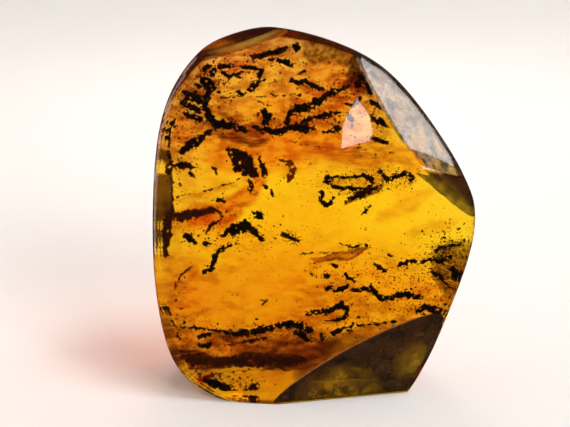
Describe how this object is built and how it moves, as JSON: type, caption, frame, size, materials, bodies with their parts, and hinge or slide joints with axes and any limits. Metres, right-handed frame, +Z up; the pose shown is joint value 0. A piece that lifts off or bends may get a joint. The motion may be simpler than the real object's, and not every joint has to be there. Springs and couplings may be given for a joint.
{
  "type": "polished amber stone",
  "caption": "Upright polished amber stone on a ground flat base, with plant shreds and small insects sealed inside it.",
  "frame": {"origin": "middle of the stone's outer box, on the plane of its flat base", "axes": "+Z up from the base, front face towards -Y and leaning back by 13 degrees, +X to the right of someone who looks at the front"},
  "size_m": [0.0708, 0.0305, 0.0799],
  "materials": {
    "amber": "polished",
    "bark_dark": "dull",
    "plant_brown": "dull",
    "insect_dark": "satin"
  },
  "bodies": {
    "root": {"amber_front": "amber", "amber_back": "amber", "bark_band_left": "bark_dark", "bark_band_right": "bark_dark", "bark_arch": "bark_dark", "bark_flake": "bark_dark", "husk": "plant_brown", "seed_oval": "bark_dark", "leaf_shred": "plant_brown", "side_band": "bark_dark", "spur": "bark_dark", "shred_cluster": "bark_dark", "shred_lower": "bark_dark", "chip_upper": "bark_dark", "chip_lower": "bark_dark", "ring_shred": "bark_dark", "shred_curl": "bark_dark", "flake_dark": "plant_brown", "curl": "bark_dark", "leaf_rust": "plant_brown", "strip_lower": "bark_dark", "twig_loop": "bark_dark", "band_lower_left": "bark_dark", "band_lower_right": "bark_dark", "wood_slab": "plant_brown", "flake_crown": "bark_dark", "flake_oval": "bark_dark", "insect_large": "insect_dark", "insect_small": "insect_dark"}
  },
  "joints": []
}
